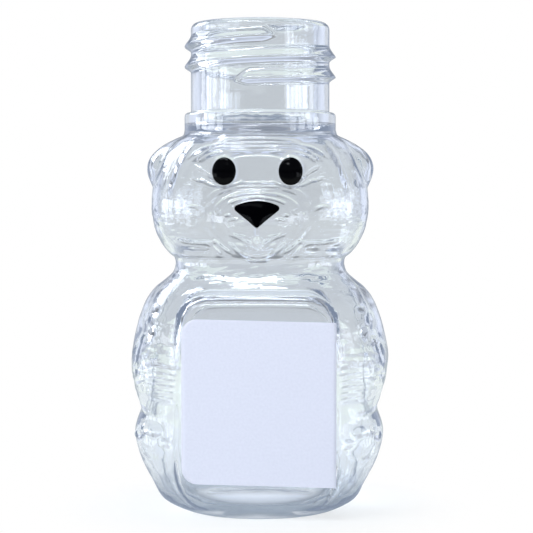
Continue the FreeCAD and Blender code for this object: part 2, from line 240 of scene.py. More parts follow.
def along(curve, t):
    """Smooth rise through a curve's points: cubics that meet with the harmonic mean of their slopes."""
    places, values = np.array(curve).T
    slopes = np.diff(values) / np.diff(places)
    inner = 2 * slopes[:-1] * slopes[1:] / (slopes[:-1] + slopes[1:])
    tangents = np.concatenate([[0.0], inner, [0.0]])
    i = np.clip(np.searchsorted(places, t, side="right") - 1, 0, len(slopes) - 1)
    h = places[i + 1] - places[i]
    s = np.clip((t - places[i]) / h, 0, 1)
    rise = (1 + 2 * s) * (1 - s) ** 2 * values[i] + s * s * (3 - 2 * s) * values[i + 1]
    return rise + h * s * (1 - s) * ((1 - s) * tangents[i] - s * tangents[i + 1])


def swell(z, sizes, last=HEAD_TO_CROWN):
    """A section's size at height z: eased from the base to the torso, waist, head and crown in turn."""
    stops = (0.0, TORSO_WIDEST, TORSO_TOP, HEAD_WIDEST, CROWN)
    size = np.zeros_like(z)
    for i, curve in enumerate((BASE_TO_TORSO, TORSO_TO_WAIST, WAIST_TO_HEAD, last)):
        low, high = stops[i], stops[i + 1]
        part = sizes[i] + (sizes[i + 1] - sizes[i]) * along(curve, (z - low) / (high - low))
        size = np.where(z >= low, part, size)
    return np.where(z < 0, sizes[0], size)


def mound(across, up, power=2.0):
    """Smooth mound, 1 in the middle and 0 at the rim: (1 - across squared - up squared) to a power."""
    return np.clip(1 - across ** 2 - up ** 2, 0, None) ** power


def mounds(along_side, z, forms):
    """Sum of mounds, each with its own middle, half sizes, height and power."""
    total = np.zeros_like(z)
    for (middle, height), (half_length, half_height), rise, power in forms:
        total += rise * mound((along_side - middle) / half_length, (z - height) / half_height, power)
    return total


def step(t):
    """Smooth step from 0 to 1: 3t squared - 2t cubed."""
    t = np.clip(t, 0, 1)
    return t * t * (3 - 2 * t)


def nearest(x, z, path):
    """Distance from each point to a path of straight runs, and the place on it, from 0 to 1."""
    best = np.full(np.shape(x), np.inf)
    place = np.zeros(np.shape(x))
    runs = len(path) - 1
    for i in range(runs):
        (x0, z0), (x1, z1) = path[i], path[i + 1]
        dx, dz = x1 - x0, z1 - z0
        s = np.clip(((x - x0) * dx + (z - z0) * dz) / (dx * dx + dz * dz), 0, 1)
        away = np.hypot(x - x0 - s * dx, z - z0 - s * dz)
        place = np.where(away < best, (i + s) / runs, place)
        best = np.minimum(best, away)
    return best, place


def bow(start, middle, end):
    """Points along a quadratic bow that is drawn towards its middle point."""
    s = np.linspace(0, 1, 11)[:, None]
    start, middle, end = np.array(start), np.array(middle), np.array(end)
    return (1 - s) ** 2 * start + 2 * s * (1 - s) * middle + s ** 2 * end


def stroke(x, z, path, width):
    """Soft line along a path: exp(-(distance / width) squared), fading out towards both ends."""
    away, place = nearest(x, z, path)
    return np.exp(-(away / width) ** 2) * step(0.3 + 5 * np.minimum(place, 1 - place))


def ripple(x, y, z, seed, across, up):
    """Uneven ripple of a blown wall: sixteen sine waves of chance direction and phase, about 1 high."""
    chance = np.random.default_rng(seed)
    total = 0.0
    for _ in range(16):
        kx, ky = chance.normal(0, 1 / across, 2)
        kz = chance.normal(0, 1 / up)
        total = total + np.sin(2 * math.pi * (kx * x + ky * y + kz * z + chance.random()))
    return total / math.sqrt(8)


def arm(u, z, fine):
    """Arm down the side to the elbow and forward to the paw, a mound round two straight runs.

    The outer wall also has flecks of fur and the grooves between the fingers.
    """
    best = np.zeros_like(u)
    for start, end, low, high in LIMBS:
        away, place = nearest(u, z, (start, end))
        best = np.maximum(best, (low + (high - low) * place) * mound(away / ARM_HALF_WIDTH, 0, 1.5))
    relief = ARM_RELIEF * best
    if fine:
        for i in range(FINGER_GROOVES):
            finger_z = FINGER_TOP - FINGER_SPACING * i
            groove = ((FINGER_ROOT, finger_z + 0.3), (FINGER_TIP, finger_z - 0.2))
            relief -= FINGER_DEPTH * stroke(u, z, groove, FINGER_WIDTH)
        relief += fur(u, z)
    return relief


def fur(u, z):
    """Moulded fur: short raised flecks at chance places, each hanging down with a slight lean."""
    chance = np.random.default_rng(4)
    relief = np.zeros_like(u)
    for _ in range(FUR_FLECKS):
        at = np.array([chance.uniform(*FUR_SPAN), chance.uniform(*FUR_HEIGHTS)])
        lean = np.array([chance.normal(0.2, 0.35), -1.0]) * chance.uniform(1.0, 2.2)
        relief += FUR_RISE * stroke(u, z, (at, at + lean), FUR_WIDTH)
    return relief


def foot(u, z, fine):
    """Foot: a mound, short above the ankle and long below it, with a pad and four toes on its sole."""
    half_height = np.where(z > ANKLE, ANKLE_UP, ANKLE_DOWN)
    relief = FOOT_RELIEF * mound((u - FOOT_MIDDLE) / FOOT_HALF_LENGTH, (z - ANKLE) / half_height, 1.5)
    if fine:
        relief += mounds(u, z, SOLE)
    return relief


def ear(u, z, fine):
    """Ear: a lobe on the parting plane with a hollow that faces forwards, and a line along its edge."""
    relief = mounds(u, z, EAR)
    if fine:
        relief += 0.16 * stroke(u, z, bow((1.2, 57.2), (4.2, 56.4), (5.0, 51.6)), 0.4)
    return relief


def face(x, z, fine):
    """Muzzle, lips, chin and brow, and on the outer wall the domed eyes and the lines of the face."""
    across = np.abs(x)
    relief = mounds(across, z, MUZZLE_LIPS_CHIN_BROW)
    if fine:
        relief += mounds(across, z, EYE_DOMES)
        for start, middle, end, rise, width in FACE_LINES:
            relief += rise * stroke(across, z, bow(start, middle, end), width)
    return relief


def uneven_wall(x, y, z, forward):
    """Ripple of the blown wall: faint all over, stronger at the waist, on the arms and on the cheeks."""
    waist = np.exp(-((z - 37.5) / 3.2) ** 2)
    limb = step((z - 15) / 6) * step((33 - z) / 4) * step((forward - 0.1) / 0.35)
    cheek = np.exp(-((z - 46.0) / 2.8) ** 2) * step((np.abs(x) - 7) / 3)
    total = 0.010 * ripple(x, y, z, seed=1, across=3.2, up=2.4)
    total += 0.014 * waist * ripple(x, y, z, seed=2, across=5.0, up=1.3)
    total += 0.045 * limb * ripple(x, y, z, seed=3, across=2.0, up=1.8)
    total += 0.022 * cheek * ripple(x, y, z, seed=6, across=2.6, up=1.0)
    return total


def panel_outside(x, z):
    """Distance outside the panel's rounded outline, negative inside it."""
    dx = np.abs(x) - PANEL_HALF_WIDTH + PANEL_CORNER
    dz = np.abs(z - (PANEL_LOW + PANEL_HIGH) / 2) - (PANEL_HIGH - PANEL_LOW) / 2 + PANEL_CORNER
    beyond = np.hypot(np.maximum(dx, 0), np.maximum(dz, 0))
    return beyond + np.minimum(np.maximum(dx, dz), 0) - PANEL_CORNER


def body_radius(angle, z, fine):
    """Distance from the axis to the moulding: a superellipse and the bear's forms, cut by the panels.

    The section is |x / wide| to a power plus |y / deep| to the same power = 1. The panels' share rises
    by a smooth step across their edge. Without fine it is the plain form that the inside follows.
    """
    angle, z = np.broadcast_arrays(angle, z)
    c, s = np.cos(angle), np.sin(angle)
    wide = swell(z, HALF_WIDTHS)
    deep = np.where(s < 0, swell(z, FRONT_DEPTHS, FACE_TO_CROWN), swell(z, BACK_DEPTHS))
    low = SQUARENESS[0] + (SQUARENESS[1] - SQUARENESS[0]) * step(z / SQUARING_HEIGHT)
    square = swell(z, (low, *SQUARENESS[1:]))
    plain = (np.abs(c / wide) ** square + np.abs(s / deep) ** square) ** (-1 / square)
    forward = np.arctan2(-s, np.abs(c))
    side = forward * HALF_WIDTHS[1]
    relief = arm(side, z, fine) + foot(side, z, fine) + ear(forward * HALF_WIDTHS[3], z, fine)
    relief = relief + np.where(s < 0, face(plain * c, z, fine), 0.0)
    body = plain + relief
    edge = INNER_PANEL_EDGE
    skirt = INNER_PANEL_EDGE
    if fine:
        body = body + uneven_wall(plain * c, plain * s, z, forward)
        crisp = np.where(s < 0, step((z - CRISP_FROM) / CRISP_RISE), 0.0)
        edge = PANEL_SIDE_EDGE + (PANEL_TOP_EDGE - PANEL_SIDE_EDGE) * crisp
        skirt = PANEL_SKIRT + (PANEL_TOP_EDGE - PANEL_SKIRT) * crisp
    flat = PANEL_DEPTH / np.maximum(np.abs(s), 0.2)
    share = step((skirt - panel_outside(flat * c, z)) / (edge + skirt))
    return body + (flat - body) * share


def thread(angle, z):
    """Screw ridge that climbs one pitch a turn: a pointed crest, a long upper and a short lower flank."""
    angle, z = np.broadcast_arrays(angle, z)
    height = np.zeros_like(z)
    for turn in range(-1, 3):
        swept = angle + 2 * math.pi * turn - THREAD_START
        middle = THREAD_TOP - THREAD_PITCH * (THREAD_SWEEP - swept) / (2 * math.pi)
        off = z - middle
        share = np.where(off > 0, off / THREAD_UPPER, -off / THREAD_LOWER)
        ends = step(np.minimum(swept, THREAD_SWEEP - swept) / THREAD_RUN_OUT)
        ridge = (1 - np.sqrt(share ** 2 + THREAD_CREST ** 2)) / (1 - THREAD_CREST)
        height = np.maximum(height, ridge - (1 - ends))
    return THREAD_DEPTH * np.clip(height, 0, None) ** THREAD_HOLLOW


def column_angles(count):
    """Angles once round the axis from the front, closest together on the face: t less a part of sin t."""
    t = 2 * math.pi * np.arange(count) / count
    return t - FRONT_CROWDING * np.sin(t) - math.pi / 2


def quarter(count):
    """Angles of a quarter turn, without its first point."""
    return np.linspace(0, math.pi / 2, count + 1)[1:]


def shell_rows(angle):
    """Rows of radius and height from the middle of the base, up the outside, over the rim and inside."""
    stack = []

    def add(radius, z):
        shape = np.broadcast_shapes(np.shape(radius), np.shape(z), (1, len(angle)))
        stack.append(np.stack([np.broadcast_to(radius, shape), np.broadcast_to(z, shape)]))

    def column(*runs):
        return np.concatenate(runs)[:, None]

    dome = (PUSH_UP_RADIUS ** 2 + PUSH_UP_DEPTH ** 2) / (2 * PUSH_UP_DEPTH)
    radius = column(np.linspace(0, PUSH_UP_RADIUS, 6)[1:])
    add(radius, PUSH_UP_DEPTH - dome + np.sqrt(dome ** 2 - radius ** 2))
    turn = column([0.0], quarter(7))
    z = BASE_CORNER * (1 - np.cos(turn))
    add(body_radius(angle, z, True) - BASE_CORNER * (1 - np.sin(turn)), z)
    z = column(
        np.linspace(BASE_CORNER, FINE_ROWS_FROM, 96)[1:],
        np.linspace(FINE_ROWS_FROM, FINE_ROWS_TO, 191)[1:],
        np.linspace(FINE_ROWS_TO, CROWN, 9)[1:],
    )
    add(body_radius(angle, z, True), z)
    add(COLLAR_RADIUS, column(np.linspace(CROWN, NECK_FOOT - COLLAR_ROUND, 5)[1:]))
    turn = column(quarter(4))
    add(COLLAR_RADIUS - COLLAR_ROUND * (1 - np.cos(turn)), NECK_FOOT - COLLAR_ROUND * (1 - np.sin(turn)))
    z = column(np.linspace(NECK_FOOT, RIM - RIM_ROUND, 58))
    add(NECK_RADIUS + thread(angle, z), z)
    turn = column(quarter(6))
    add(NECK_RADIUS - RIM_ROUND * (1 - np.cos(turn)), RIM - RIM_ROUND * (1 - np.sin(turn)))
    turn = column([0.0], quarter(4))
    add(BORE_RADIUS + LIP_ROUND * (1 - np.sin(turn)), RIM - LIP_ROUND * (1 - np.cos(turn)))
    add(BORE_RADIUS + flutes(angle), column(np.linspace(RIM - 2, BORE_FOOT, 6)[:-1]))
    low = BASE_WALL + BASE_CORNER
    shoulder = BORE_FOOT - BORE_FLARE
    z = column(
        np.linspace(BORE_FOOT, shoulder, 19),
        np.linspace(shoulder, INNER_ROWS_FROM, 14)[1:],
        np.linspace(INNER_ROWS_FROM, low, 34)[1:],
    )
    add(inner_radius(angle, z), z)
    turn = column(quarter(5))
    z = low - BASE_CORNER * np.sin(turn)
    add(inner_radius(angle, z) - BASE_CORNER * (1 - np.cos(turn)), z)
    share = column(np.linspace(1, 0, 6)[1:-1])
    floor_radius = inner_radius(angle, BASE_WALL) - BASE_CORNER
    add(floor_radius * share, BASE_WALL + INNER_FLOOR_RISE * (1 - share ** 2))
    return np.concatenate(stack, axis=1)


def flutes(angle):
    """Faint upright streaks left in the bore: a few sine waves round the axis."""
    chance = np.random.default_rng(5)
    return sum(0.005 * np.sin(n * angle + chance.uniform(0, 2 * math.pi)) for n in (7, 11, 16, 23))


def inner_radius(angle, z):
    """Inside of the wall: the plain outside moved in by the wall, eased into the bore above its flare."""
    nudge = 0.3
    flare = step((BORE_FOOT - z) / BORE_FLARE)
    z = np.minimum(z, CROWN - nudge)
    radius = body_radius(angle, z, False)
    up = (body_radius(angle, z + nudge, False) - body_radius(angle, z - nudge, False)) / (2 * nudge)
    turn = nudge / radius
    around = (body_radius(angle + turn, z, False) - body_radius(angle - turn, z, False)) / (2 * nudge)
    inside = radius - WALL * np.sqrt(1 + up ** 2 + around ** 2)
    return BORE_RADIUS + (1 - flare) * flutes(angle) + (inside - BORE_RADIUS) * flare


def new_piece(name, vertices, faces, node):
    """Mesh object from vertex and face arrays, in metres, standing for a CAD node."""
    mesh = bpy.data.meshes.new(name)
    mesh.from_pydata((vertices * MM).tolist(), [], [list(face) for face in faces])
    mesh.validate()
    mesh.polygons.foreach_set("use_smooth", np.ones(len(mesh.polygons), dtype=bool))
    mesh.update()
    piece = bpy.data.objects.new(name, mesh)
    bpy.context.collection.objects.link(piece)
    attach(piece, "root")
    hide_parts(node)
    return piece


def closed_faces(rows, columns):
    """Quads between rows of a grid that closes on itself, and a fan of triangles at each end."""
    i = np.arange(rows - 1)[:, None] * columns
    j = np.arange(columns)[None, :]
    k = (j + 1) % columns
    quads = np.stack([i + j, i + k, i + columns + k, i + columns + j], axis=-1).reshape(-1, 4)
    j, k = j[0], k[0]
    first, last = rows * columns, rows * columns + 1
    top = (rows - 1) * columns
    start = np.stack([np.full(columns, first), k, j], axis=-1)
    end = np.stack([np.full(columns, last), top + j, top + k], axis=-1)
    return quads.tolist() + start.tolist() + end.tolist()


def make_shell():
    """The whole bottle as one closed skin: rows of the profile carried round the axis."""
    angle = column_angles(SHELL_COLUMNS)
    radius, z = shell_rows(angle)
    grid = np.stack([radius * np.cos(angle), radius * np.sin(angle), z], axis=-1)
    poles = np.array([[0, 0, PUSH_UP_DEPTH], [0, 0, BASE_WALL + INNER_FLOOR_RISE]])
    vertices = np.concatenate([grid.reshape(-1, 3), poles])
    faces = closed_faces(len(radius), len(angle))
    return new_piece("bottle_shell", vertices, faces, "bottle")


def front_point(x, z, lift):
    """Point of the moulding's front seen at x and z, lifted off along its normal."""
    def depth(px, pz):
        angle = np.full(np.shape(px), -math.pi / 2)
        for _ in range(8):
            radius = body_radius(angle, pz, True)
            angle = -np.arccos(np.clip(px / radius, -1, 1))
        return radius * np.sin(angle)

    nudge = 0.05
    y = depth(x, z)
    slope_x = (depth(x + nudge, z) - depth(x - nudge, z)) / (2 * nudge)
    slope_z = (depth(x, z + nudge) - depth(x, z - nudge)) / (2 * nudge)
    normal = np.stack([slope_x, -np.ones_like(y), slope_z], axis=-1)
    normal /= np.linalg.norm(normal, axis=-1, keepdims=True)
    return np.stack([x, y, z], axis=-1) + normal * np.asarray(lift)[..., None]


def make_ink(name, outline, centre, node):
    """Ink film: rings from the middle out to an outline, thinning at the edge, then back under itself."""
    shares = np.concatenate([np.linspace(0, 1, 15)[1:], np.linspace(1, 0, 9)[1:-1]])
    top = np.arange(len(shares)) < 14
    x = centre[0] + shares[:, None] * (outline[None, :, 0] - centre[0])
    z = centre[1] + shares[:, None] * (outline[None, :, 1] - centre[1])
    lift = np.where(top, INK_TOP * np.sqrt(np.clip(1.02 - shares ** 4, 0, 1)), -INK_SUNK)
    grid = front_point(x, z, np.broadcast_to(lift[:, None], x.shape))
    middle = np.array([centre[0], centre[0]]), np.array([centre[1], centre[1]])
    poles = front_point(middle[0], middle[1], np.array([INK_TOP, -INK_SUNK]))
    vertices = np.concatenate([grid.reshape(-1, 3), poles])
    return new_piece(name, vertices, closed_faces(len(shares), outline.shape[0]), node)


def eye_outline(x):
    """Ellipse round an eye, once round clockwise as seen from the front."""
    t = np.linspace(0, 2 * math.pi, 64, endpoint=False)
    return np.stack([x + EYE_HALF_WIDTH * np.cos(t), EYE_Z + EYE_HALF_HEIGHT * np.sin(t)], axis=-1)


def nose_outline():
    """Rounded triangle, point down: four arcs of circles, the lower ones joined by straight sides."""
    arcs = ((2.85, 47.15, 0.5, -50, 65), (0.0, 41.04, 7.24, 65, 115), (-2.85, 47.15, 0.5, 115, 230),
            (0.0, 44.85, 0.55, 230, 310))
    points = []
    for x, z, radius, start, end in arcs:
        t = np.radians(np.linspace(start, end, 24))
        points.append(np.stack([x + radius * np.cos(t), z + radius * np.sin(t)], axis=-1))
    outline = np.concatenate(points)
    return outline[np.r_[True, np.linalg.norm(np.diff(outline, axis=0), axis=1) > 1e-3]]


def make_label():
    """Paper sheet: rows across its outline, front and back, two corners rounded, one edge cut straight.

    The rows slope down to the right by the tilt, and the ends stay upright.
    """
    count = 40
    s = np.linspace(-1, 1, count)
    corner = np.linspace(0, math.pi / 2, 9)
    heights = np.concatenate([
        -LABEL_HALF_HEIGHT + LABEL_CORNER * (1 - np.cos(corner)),
        np.linspace(-LABEL_HALF_HEIGHT + LABEL_CORNER, LABEL_HALF_HEIGHT - LABEL_CORNER, 30)[1:-1],
        LABEL_HALF_HEIGHT - LABEL_CORNER * (1 - np.sin(corner)),
    ])
    low = np.clip(-LABEL_HALF_HEIGHT + LABEL_CORNER - heights, 0, None)
    high = np.clip(heights - LABEL_HALF_HEIGHT + LABEL_CORNER, 0, None)
    inset = LABEL_CORNER - np.sqrt(np.clip(LABEL_CORNER ** 2 - np.maximum(low, high) ** 2, 0, None))
    start = -LABEL_HALF_WIDTH + inset
    across = start[:, None] + (LABEL_HALF_WIDTH - start)[:, None] * (s[None, :] + 1) / 2
    up = np.broadcast_to(heights[:, None], across.shape)
    x = LABEL_X + across
    z = LABEL_Z + up - across * math.tan(LABEL_TILT)
    back = np.full(x.shape, -PANEL_DEPTH - LABEL_GAP)
    front = np.full(x.shape, -PANEL_DEPTH - LABEL_THICKNESS)
    rows, columns = x.shape
    vertices = np.concatenate([np.stack([x, y, z], axis=-1).reshape(-1, 3) for y in (front, back)])
    i, j = np.arange(rows - 1)[:, None] * columns, np.arange(columns - 1)[None, :]
    sheet = np.stack([i + j, i + j + 1, i + columns + j + 1, i + columns + j], axis=-1).reshape(-1, 4)
    under = rows * columns
    bottom, top = np.arange(columns), (rows - 1) * columns + np.arange(columns)
    left_edge, right_edge = np.arange(rows) * columns, np.arange(rows) * columns + columns - 1
    rim = np.concatenate([bottom, right_edge[1:], top[::-1][1:], left_edge[::-1][1:-1]])
    nxt = np.roll(rim, -1)
    edge = np.stack([nxt, rim, rim + under, nxt + under], axis=-1)
    faces = np.concatenate([sheet, sheet[:, ::-1] + under, edge])
    return new_piece("paper_label", vertices, faces.tolist(), "front_label")


def fill_ramp(ramp, stops):
    """Colour ramp with the given stops, each a position and a colour."""
    while len(ramp.elements) < len(stops):
        ramp.elements.new(0.5)
    for element, (position, color) in zip(ramp.elements, stops):
        element.position = position
        element.color = (*color, 1)


def new_material(name):
    """Empty node material, with its nodes and links."""
    material = bpy.data.materials.new(name)
    material.use_nodes = True
    material.node_tree.nodes.clear()
    return material, material.node_tree.nodes, material.node_tree.links


def clear_plastic():
    """Clear moulded plastic: glass-like with a faint ripple, letting lamp light through to the label.

    A path that runs long or turns very often ends in a painted blue-grey emission.
    Edge-on, the same emission is painted in as a dark outline.
    """
    material, nodes, links = new_material("clear_plastic")
    output = nodes.new("ShaderNodeOutputMaterial")
    shader = nodes.new("ShaderNodeBsdfPrincipled")
    shader.inputs["Base Color"].default_value = (0.955, 0.975, 1.0, 1)
    shader.inputs["Roughness"].default_value = 0.03
    shader.inputs["IOR"].default_value = 1.57
    shader.inputs["Transmission Weight"].default_value = 1.0
    coordinates = nodes.new("ShaderNodeTexCoord")
    ripple = nodes.new("ShaderNodeTexNoise")
    ripple.inputs["Scale"].default_value = 260
    ripple.inputs["Detail"].default_value = 2
    bump = nodes.new("ShaderNodeBump")
    bump.inputs["Strength"].default_value = 0.12
    bump.inputs["Distance"].default_value = 0.0004
    path = nodes.new("ShaderNodeLightPath")
    through = nodes.new("ShaderNodeBsdfTransparent")
    through.inputs["Color"].default_value = (0.94, 0.95, 0.96, 1)
    long_path = nodes.new("ShaderNodeMath")
    long_path.operation = "GREATER_THAN"
    long_path.inputs[1].default_value = 7
    many_turns = nodes.new("ShaderNodeMath")
    many_turns.operation = "GREATER_THAN"
    many_turns.inputs[1].default_value = 3
    # Painted light: paths that run long or turn often end in a flat blue-grey emission.
    trapped = nodes.new("ShaderNodeMath")
    trapped.operation = "MAXIMUM"
    # Painted dark outline: where the surface turns edge-on, up to 0.45 of that emission replaces the
    # plastic.
    facing = nodes.new("ShaderNodeLayerWeight")
    facing.inputs["Blend"].default_value = 0.5
    rim = nodes.new("ShaderNodeMapRange")
    rim.inputs["From Min"].default_value = 0.76
    rim.inputs["From Max"].default_value = 0.97
    rim.inputs["To Max"].default_value = 0.45
    painted_shade_share = nodes.new("ShaderNodeMath")
    painted_shade_share.operation = "MAXIMUM"
    # Painted shade: the blue-grey emission shared by long paths and the painted dark outline.
    painted_shade_emission = nodes.new("ShaderNodeEmission")
    painted_shade_emission.inputs["Color"].default_value = (0.22, 0.27, 0.37, 1)
    painted_shade_mix = nodes.new("ShaderNodeMixShader")
    mix = nodes.new("ShaderNodeMixShader")
    links.new(path.outputs["Ray Depth"], long_path.inputs[0])
    links.new(path.outputs["Glossy Depth"], many_turns.inputs[0])
    links.new(long_path.outputs["Value"], trapped.inputs[0])
    links.new(many_turns.outputs["Value"], trapped.inputs[1])
    links.new(facing.outputs["Facing"], rim.inputs["Value"])
    links.new(trapped.outputs["Value"], painted_shade_share.inputs[0])
    links.new(rim.outputs["Result"], painted_shade_share.inputs[1])
    links.new(painted_shade_share.outputs["Value"], painted_shade_mix.inputs["Fac"])
    links.new(shader.outputs["BSDF"], painted_shade_mix.inputs[1])
    links.new(painted_shade_emission.outputs["Emission"], painted_shade_mix.inputs[2])
    links.new(coordinates.outputs["Object"], ripple.inputs["Vector"])
    links.new(ripple.outputs["Fac"], bump.inputs["Height"])
    links.new(bump.outputs["Normal"], shader.inputs["Normal"])
    links.new(path.outputs["Is Shadow Ray"], mix.inputs["Fac"])
    links.new(painted_shade_mix.outputs["Shader"], mix.inputs[1])
    links.new(through.outputs["BSDF"], mix.inputs[2])
    links.new(mix.outputs["Shader"], output.inputs["Surface"])
    return material


def black_ink(name, sheen):
    """Black printing ink with a fine orange-peel surface and a given strength of reflection."""
    material, nodes, links = new_material(name)
    output = nodes.new("ShaderNodeOutputMaterial")
    shader = nodes.new("ShaderNodeBsdfPrincipled")
    shader.inputs["IOR"].default_value = 1.5
    shader.inputs["Specular IOR Level"].default_value = sheen
    coordinates = nodes.new("ShaderNodeTexCoord")
    peel = nodes.new("ShaderNodeTexNoise")
    peel.inputs["Scale"].default_value = 1800
    peel.inputs["Detail"].default_value = 3
    tone = nodes.new("ShaderNodeValToRGB")
    tone.color_ramp.elements[0].color = (0.0004, 0.0004, 0.0008, 1)
    tone.color_ramp.elements[1].color = (0.0010, 0.0010, 0.0018, 1)
    gloss = nodes.new("ShaderNodeMapRange")
    gloss.inputs["To Min"].default_value = 0.08
    gloss.inputs["To Max"].default_value = 0.16
    bump = nodes.new("ShaderNodeBump")
    bump.inputs["Strength"].default_value = 0.10
    bump.inputs["Distance"].default_value = 0.0001
    links.new(coordinates.outputs["Object"], peel.inputs["Vector"])
    links.new(peel.outputs["Fac"], tone.inputs["Fac"])
    links.new(peel.outputs["Fac"], gloss.inputs["Value"])
    links.new(peel.outputs["Fac"], bump.inputs["Height"])
    links.new(tone.outputs["Color"], shader.inputs["Base Color"])
    links.new(gloss.outputs["Result"], shader.inputs["Roughness"])
    links.new(bump.outputs["Normal"], shader.inputs["Normal"])
    links.new(shader.outputs["BSDF"], output.inputs["Surface"])
    return material


def label_paper():
    """Uncoated white paper: short fibres in tone and bump, and a matt surface."""
    material, nodes, links = new_material("label_paper")
    output = nodes.new("ShaderNodeOutputMaterial")
    shader = nodes.new("ShaderNodeBsdfPrincipled")
    shader.inputs["Roughness"].default_value = 0.8
    shader.inputs["Specular IOR Level"].default_value = 0.3
    coordinates = nodes.new("ShaderNodeTexCoord")
    fibre = nodes.new("ShaderNodeTexNoise")
    fibre.inputs["Scale"].default_value = 2600
    fibre.inputs["Detail"].default_value = 5
    tone = nodes.new("ShaderNodeValToRGB")
    tone.color_ramp.elements[0].position = 0.25
    tone.color_ramp.elements[0].color = (0.81, 0.81, 0.91, 1)
    tone.color_ramp.elements[1].position = 0.7
    tone.color_ramp.elements[1].color = (0.86, 0.86, 0.96, 1)
    bump = nodes.new("ShaderNodeBump")
    bump.inputs["Strength"].default_value = 0.25
    bump.inputs["Distance"].default_value = 0.00005
    links.new(coordinates.outputs["Object"], fibre.inputs["Vector"])
    links.new(fibre.outputs["Fac"], tone.inputs["Fac"])
    links.new(fibre.outputs["Fac"], bump.inputs["Height"])
    links.new(tone.outputs["Color"], shader.inputs["Base Color"])
    links.new(bump.outputs["Normal"], shader.inputs["Normal"])
    links.new(shader.outputs["BSDF"], output.inputs["Surface"])
    return material


def make_floor():
    """Pale floor with the bottle's soft shadow, white away from the bottle.

    Through the plastic it shows painted light and shade by its distance from the axis: a bright spot under
    the base, a painted dark shadow ring round it, and paler further out.
    """
    size = 0.26
    corners = [(-size, -size, 0), (size, -size, 0), (size, size, 0), (-size, size, 0)]
    mesh = bpy.data.meshes.new("floor")
    mesh.from_pydata(corners, [], [(0, 1, 2, 3)])
    floor = bpy.data.objects.new("floor", mesh)
    bpy.context.collection.objects.link(floor)
    material, nodes, links = new_material("floor")
    output = nodes.new("ShaderNodeOutputMaterial")
    matt = nodes.new("ShaderNodeBsdfDiffuse")
    matt.inputs["Color"].default_value = (0.82, 0.84, 0.82, 1)
    # Emission of painted light, seen only in reflections and through the plastic, coloured by the painted
    # shade ramp.
    painted_table_light = nodes.new("ShaderNodeEmission")
    white = nodes.new("ShaderNodeEmission")
    white.inputs["Color"].default_value = (1, 1, 1, 1)
    path = nodes.new("ShaderNodeLightPath")
    bent = nodes.new("ShaderNodeMath")
    bent.operation = "MAXIMUM"
    through = nodes.new("ShaderNodeMath")
    through.operation = "MULTIPLY"
    through.inputs[1].default_value = 0.75
    # Painted light and shadow by distance from the axis: bright under the base, a dark painted shadow ring
    # from 9.5 to 14.5 mm, then paler.
    shade = nodes.new("ShaderNodeValToRGB")
    fill_ramp(shade.color_ramp, (
        (0.0070, (1.02, 1.06, 1.12)),
        (0.0095, (0.17, 0.22, 0.30)),
        (0.0145, (0.23, 0.28, 0.35)),
        (0.0300, (0.80, 0.84, 0.87)),
        (0.0900, (0.87, 0.91, 0.92)),
        (0.1300, (0.94, 1.00, 0.93)),
    ))
    coordinates = nodes.new("ShaderNodeTexCoord")
    away = nodes.new("ShaderNodeVectorMath")
    away.operation = "LENGTH"
    fade = nodes.new("ShaderNodeMapRange")
    fade.interpolation_type = "SMOOTHSTEP"
    fade.inputs["From Min"].default_value = 0.012
    fade.inputs["From Max"].default_value = 0.035
    fade.inputs["To Min"].default_value = 0.60
    fade.inputs["To Max"].default_value = 1.0
    share = nodes.new("ShaderNodeMath")
    share.operation = "MULTIPLY"
    seen_in_glass = nodes.new("ShaderNodeMixShader")
    mix = nodes.new("ShaderNodeMixShader")
    links.new(path.outputs["Is Glossy Ray"], bent.inputs[0])
    links.new(path.outputs["Is Transmission Ray"], bent.inputs[1])
    links.new(bent.outputs["Value"], through.inputs[0])
    links.new(through.outputs["Value"], seen_in_glass.inputs["Fac"])
    links.new(matt.outputs["BSDF"], seen_in_glass.inputs[1])
    links.new(painted_table_light.outputs["Emission"], seen_in_glass.inputs[2])
    links.new(coordinates.outputs["Object"], away.inputs[0])
    links.new(away.outputs["Value"], fade.inputs["Value"])
    links.new(away.outputs["Value"], shade.inputs["Fac"])
    links.new(shade.outputs["Color"], painted_table_light.inputs["Color"])
    links.new(path.outputs["Is Camera Ray"], share.inputs[0])
    links.new(fade.outputs["Result"], share.inputs[1])
    links.new(share.outputs["Value"], mix.inputs["Fac"])
    links.new(seen_in_glass.outputs["Shader"], mix.inputs[1])
    links.new(white.outputs["Emission"], mix.inputs[2])
    links.new(mix.outputs["Shader"], output.inputs["Surface"])
    mesh.materials.append(material)


